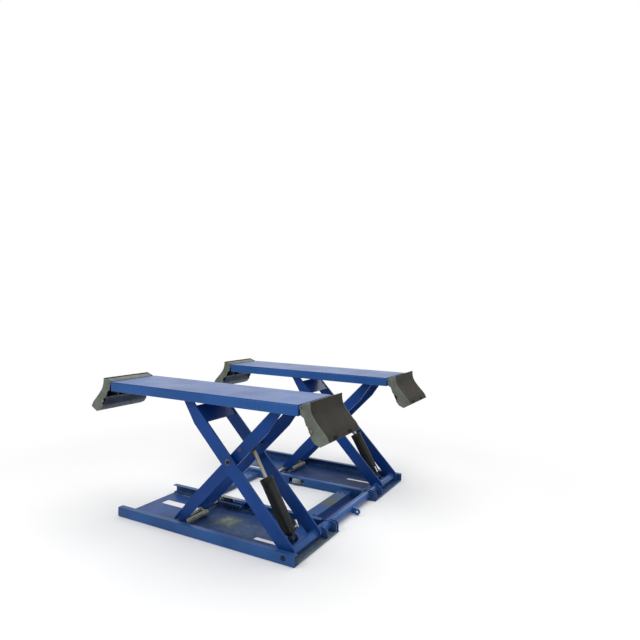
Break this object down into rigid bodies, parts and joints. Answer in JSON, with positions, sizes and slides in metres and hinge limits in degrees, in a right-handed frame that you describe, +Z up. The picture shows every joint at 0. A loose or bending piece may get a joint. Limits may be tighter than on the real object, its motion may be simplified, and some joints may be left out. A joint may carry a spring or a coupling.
{
  "type": "scissor car lift",
  "caption": "Low-profile portable scissor lift: track pans on the floor, crossed legs, hydraulic cylinders, drive-on platforms and hinged end ramps.",
  "frame": {"origin": "on the floor, at the centre of the footprint of the raised lift", "axes": "+X along the tracks to the fixed pivot end, +Y across the lift away from the near side, +Z up"},
  "size_m": [1.946, 1.782, 0.9571],
  "materials": {
    "pan_paint": "blue gloss paint, scuffed and dirty on the floor plate",
    "track_paint": "blue gloss paint, worn through to bare steel where the rollers run",
    "tie_paint": "blue gloss paint with rusty wear",
    "leg_paint": "blue gloss paint with chipped edges",
    "tube_paint": "blue gloss paint",
    "platform_paint": "blue gloss paint",
    "ramp_zinc": "dull galvanised sheet, brownish on the outer face",
    "roller_steel": "turned steel",
    "axle_steel": "bright turned bar",
    "pin_steel": "turned steel",
    "pin_black": "blackened steel",
    "lock_steel": "bare worn steel",
    "barrel_black": "black gloss paint",
    "rod_chrome": "hard chrome"
  },
  "bodies": {
    "base": {"near_pan_plate": "pan_paint", "far_pan_plate": "pan_paint", "near_outer_track": "track_paint", "far_outer_track": "track_paint", "near_inner_track": "track_paint", "far_inner_track": "track_paint", "near_tube_bearing": "tie_paint", "far_tube_bearing": "tie_paint", "near_cylinder_clevis": "tie_paint", "far_cylinder_clevis": "tie_paint", "near_cylinder_lower_pin": "pin_steel", "far_cylinder_lower_pin": "pin_steel", "near_lock_rack": "lock_steel", "far_lock_rack": "lock_steel", "fixed_end_cross_tie": "tie_paint", "roller_end_cross_tie": "tie_paint"},
    "outer_legs": {"near_outer_leg_side": "leg_paint", "near_outer_leg_inboard": "leg_paint", "far_outer_leg_side": "leg_paint", "far_outer_leg_inboard": "leg_paint", "near_outer_leg_cross_plate": "leg_paint", "far_outer_leg_cross_plate": "leg_paint", "near_centre_pin_side": "pin_black", "near_centre_pin_inboard": "pin_black", "far_centre_pin_side": "pin_black", "far_centre_pin_inboard": "pin_black", "torsion_tube": "tube_paint", "main_shaft": "pin_steel"},
    "near_inner_legs": {"near_inner_leg_side": "leg_paint", "near_inner_leg_inboard": "leg_paint", "near_cylinder_upper_pin": "pin_steel"},
    "far_inner_legs": {"far_inner_leg_side": "leg_paint", "far_inner_leg_inboard": "leg_paint", "far_cylinder_upper_pin": "pin_steel"},
    "near_axle": {"near_lower_axle": "axle_steel"},
    "far_axle": {"far_lower_axle": "axle_steel"},
    "near_pawl": {"near_lock_pawl": "lock_steel"},
    "far_pawl": {"far_lock_pawl": "lock_steel"},
    "near_lower_side_roller": {"near_lower_roller_side": "roller_steel"},
    "near_lower_inboard_roller": {"near_lower_roller_inboard": "roller_steel"},
    "far_lower_side_roller": {"far_lower_roller_side": "roller_steel"},
    "far_lower_inboard_roller": {"far_lower_roller_inboard": "roller_steel"},
    "near_upper_side_roller": {"near_upper_roller_side": "roller_steel"},
    "near_upper_inboard_roller": {"near_upper_roller_inboard": "roller_steel"},
    "far_upper_side_roller": {"far_upper_roller_side": "roller_steel"},
    "far_upper_inboard_roller": {"far_upper_roller_inboard": "roller_steel"},
    "near_barrel": {"near_cylinder_barrel": "barrel_black"},
    "far_barrel": {"far_cylinder_barrel": "barrel_black"},
    "near_rod": {"near_cylinder_rod": "rod_chrome"},
    "far_rod": {"far_cylinder_rod": "rod_chrome"},
    "near_platform": {"near_platform_deck": "platform_paint", "near_platform_frame": "platform_paint"},
    "far_platform": {"far_platform_deck": "platform_paint", "far_platform_frame": "platform_paint"},
    "near_fixed_end_ramp": {"near_fixed_end_ramp": "ramp_zinc"},
    "near_roller_end_ramp": {"near_roller_end_ramp": "ramp_zinc"},
    "far_fixed_end_ramp": {"far_fixed_end_ramp": "ramp_zinc"},
    "far_roller_end_ramp": {"far_roller_end_ramp": "ramp_zinc"}
  },
  "joints": [
    {"name": "fold", "type": "hinge", "parent": "base", "child": "outer_legs", "pos_m": [0.68703, 0, 0.039], "axis": [0, 1, 0], "range_deg": [-41.9, 0]},
    {"name": "near_scissor", "type": "hinge", "parent": "outer_legs", "child": "near_inner_legs", "pos_m": [0.2429, 0, 0.5136], "axis": [0, 1, 0], "range_deg": [0, 84]},
    {"name": "far_scissor", "type": "hinge", "parent": "outer_legs", "child": "far_inner_legs", "pos_m": [0.2429, 0, 0.5136], "axis": [0, 1, 0], "range_deg": [0, 84]},
    {"name": "near_axle_turn", "type": "hinge", "parent": "near_inner_legs", "child": "near_axle", "pos_m": [-0.20122, 0, 0.039], "axis": [0, 1, 0], "range_deg": [-42, 0]},
    {"name": "far_axle_turn", "type": "hinge", "parent": "far_inner_legs", "child": "far_axle", "pos_m": [-0.20122, 0, 0.039], "axis": [0, 1, 0], "range_deg": [-42, 0]},
    {"name": "near_platform_level", "type": "hinge", "parent": "near_inner_legs", "child": "near_platform", "pos_m": [0.6064, 0, 0.90205], "axis": [0, 1, 0], "range_deg": [-42, 0]},
    {"name": "far_platform_level", "type": "hinge", "parent": "far_inner_legs", "child": "far_platform", "pos_m": [0.6064, 0, 0.90205], "axis": [0, 1, 0], "range_deg": [-42, 0]},
    {"name": "near_barrel_swing", "type": "hinge", "parent": "base", "child": "near_barrel", "pos_m": [0.62303, 0, 0.06], "axis": [0, 1, 0], "range_deg": [-51, 0]},
    {"name": "far_barrel_swing", "type": "hinge", "parent": "base", "child": "far_barrel", "pos_m": [0.62303, 0, 0.06], "axis": [0, 1, 0], "range_deg": [-51, 0]},
    {"name": "near_rod_swing", "type": "hinge", "parent": "near_inner_legs", "child": "near_rod", "pos_m": [0.30393, 0, 0.59345], "axis": [0, 1, 0], "range_deg": [-93, 0]},
    {"name": "far_rod_swing", "type": "hinge", "parent": "far_inner_legs", "child": "far_rod", "pos_m": [0.30393, 0, 0.59345], "axis": [0, 1, 0], "range_deg": [-93, 0]},
    {"name": "near_pawl_lift", "type": "hinge", "parent": "near_axle", "child": "near_pawl", "pos_m": [-0.20122, -0.395, 0.039], "axis": [0, -1, 0], "range_deg": [0, 25]},
    {"name": "far_pawl_lift", "type": "hinge", "parent": "far_axle", "child": "far_pawl", "pos_m": [-0.20122, 0.383, 0.039], "axis": [0, -1, 0], "range_deg": [0, 25]},
    {"name": "near_lower_side_roll", "type": "hinge", "parent": "near_axle", "child": "near_lower_side_roller", "pos_m": [-0.20122, -0.8665, 0.039], "axis": [0, 1, 0], "continuous": true},
    {"name": "near_lower_inboard_roll", "type": "hinge", "parent": "near_axle", "child": "near_lower_inboard_roller", "pos_m": [-0.20122, -0.3405, 0.039], "axis": [0, 1, 0], "continuous": true},
    {"name": "far_lower_side_roll", "type": "hinge", "parent": "far_axle", "child": "far_lower_side_roller", "pos_m": [-0.20122, 0.8545, 0.039], "axis": [0, 1, 0], "continuous": true},
    {"name": "far_lower_inboard_roll", "type": "hinge", "parent": "far_axle", "child": "far_lower_inboard_roller", "pos_m": [-0.20122, 0.3285, 0.039], "axis": [0, 1, 0], "continuous": true},
    {"name": "near_upper_side_roll", "type": "hinge", "parent": "outer_legs", "child": "near_upper_side_roller", "pos_m": [-0.1206, -0.865, 0.90205], "axis": [0, 1, 0], "continuous": true},
    {"name": "near_upper_inboard_roll", "type": "hinge", "parent": "outer_legs", "child": "near_upper_inboard_roller", "pos_m": [-0.1206, -0.493, 0.90205], "axis": [0, 1, 0], "continuous": true},
    {"name": "far_upper_side_roll", "type": "hinge", "parent": "outer_legs", "child": "far_upper_side_roller", "pos_m": [-0.1206, 0.853, 0.90205], "axis": [0, 1, 0], "continuous": true},
    {"name": "far_upper_inboard_roll", "type": "hinge", "parent": "outer_legs", "child": "far_upper_inboard_roller", "pos_m": [-0.1206, 0.481, 0.90205], "axis": [0, 1, 0], "continuous": true},
    {"name": "near_fixed_end_ramp_swing", "type": "hinge", "parent": "near_platform", "child": "near_fixed_end_ramp", "pos_m": [0.791, -0.679, 0.92005], "axis": [0, -1, 0], "range_deg": [0, 60]},
    {"name": "near_roller_end_ramp_swing", "type": "hinge", "parent": "near_platform", "child": "near_roller_end_ramp", "pos_m": [-0.791, -0.679, 0.92005], "axis": [0, 1, 0], "range_deg": [0, 60]},
    {"name": "far_fixed_end_ramp_swing", "type": "hinge", "parent": "far_platform", "child": "far_fixed_end_ramp", "pos_m": [0.791, 0.667, 0.92005], "axis": [0, -1, 0], "range_deg": [0, 60]},
    {"name": "far_roller_end_ramp_swing", "type": "hinge", "parent": "far_platform", "child": "far_roller_end_ramp", "pos_m": [-0.791, 0.667, 0.92005], "axis": [0, 1, 0], "range_deg": [0, 60]}
  ],
  "couplings": [
    {"joint": "near_scissor", "follows": "fold", "ratio": -2},
    {"joint": "far_scissor", "follows": "fold", "ratio": -2},
    {"joint": "near_axle_turn", "follows": "fold", "ratio": 1},
    {"joint": "far_axle_turn", "follows": "fold", "ratio": 1},
    {"joint": "near_platform_level", "follows": "fold", "ratio": 1},
    {"joint": "far_platform_level", "follows": "fold", "ratio": 1},
    {"joint": "near_barrel_swing", "follows": "fold", "ratio": 1.2104},
    {"joint": "far_barrel_swing", "follows": "fold", "ratio": 1.2104},
    {"joint": "near_rod_swing", "follows": "fold", "ratio": 2.2104},
    {"joint": "far_rod_swing", "follows": "fold", "ratio": 2.2104}
  ]
}
